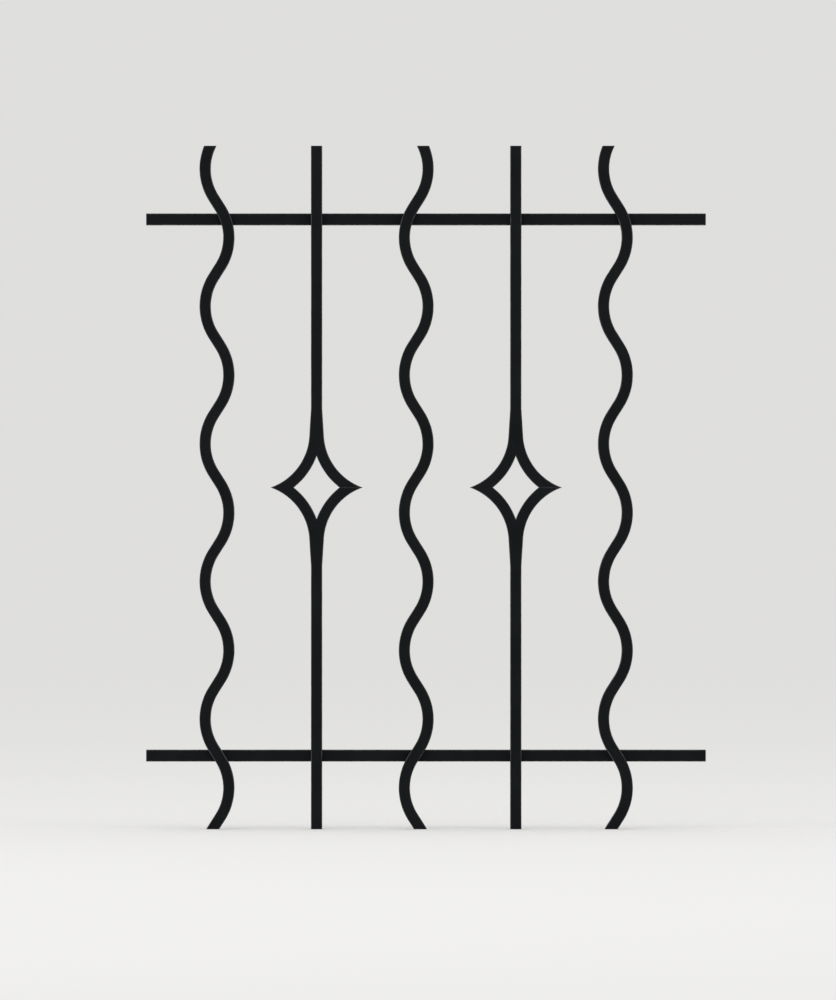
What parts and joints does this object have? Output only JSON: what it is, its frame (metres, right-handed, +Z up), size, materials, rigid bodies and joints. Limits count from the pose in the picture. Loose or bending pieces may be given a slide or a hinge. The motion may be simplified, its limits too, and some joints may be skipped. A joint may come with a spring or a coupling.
{
  "type": "wrought iron window grille",
  "caption": "Black wrought iron window grille of square bar: level rails carry wavy uprights and straight pickets with open diamonds, guarding a window opening.",
  "frame": {"origin": "middle of the grille, on the plane where the uprights' backs meet the rails' fronts", "axes": "+Z up along the uprights, +X along the rails, -Y out of the front"},
  "size_m": [0.6, 0.024, 0.732],
  "materials": {
    "black_paint": "satin"
  },
  "bodies": {
    "root": {"top_rail": "black_paint", "bottom_rail": "black_paint", "wavy_bar_left": "black_paint", "wavy_bar_middle": "black_paint", "wavy_bar_right": "black_paint", "left_picket_upper_stem": "black_paint", "left_picket_lower_stem": "black_paint", "right_picket_upper_stem": "black_paint", "right_picket_lower_stem": "black_paint", "left_diamond_upper_fork": "black_paint", "left_diamond_lower_fork": "black_paint", "right_diamond_upper_fork": "black_paint", "right_diamond_lower_fork": "black_paint", "top_rail_weld_beads": "black_paint", "bottom_rail_weld_beads": "black_paint"}
  },
  "joints": []
}
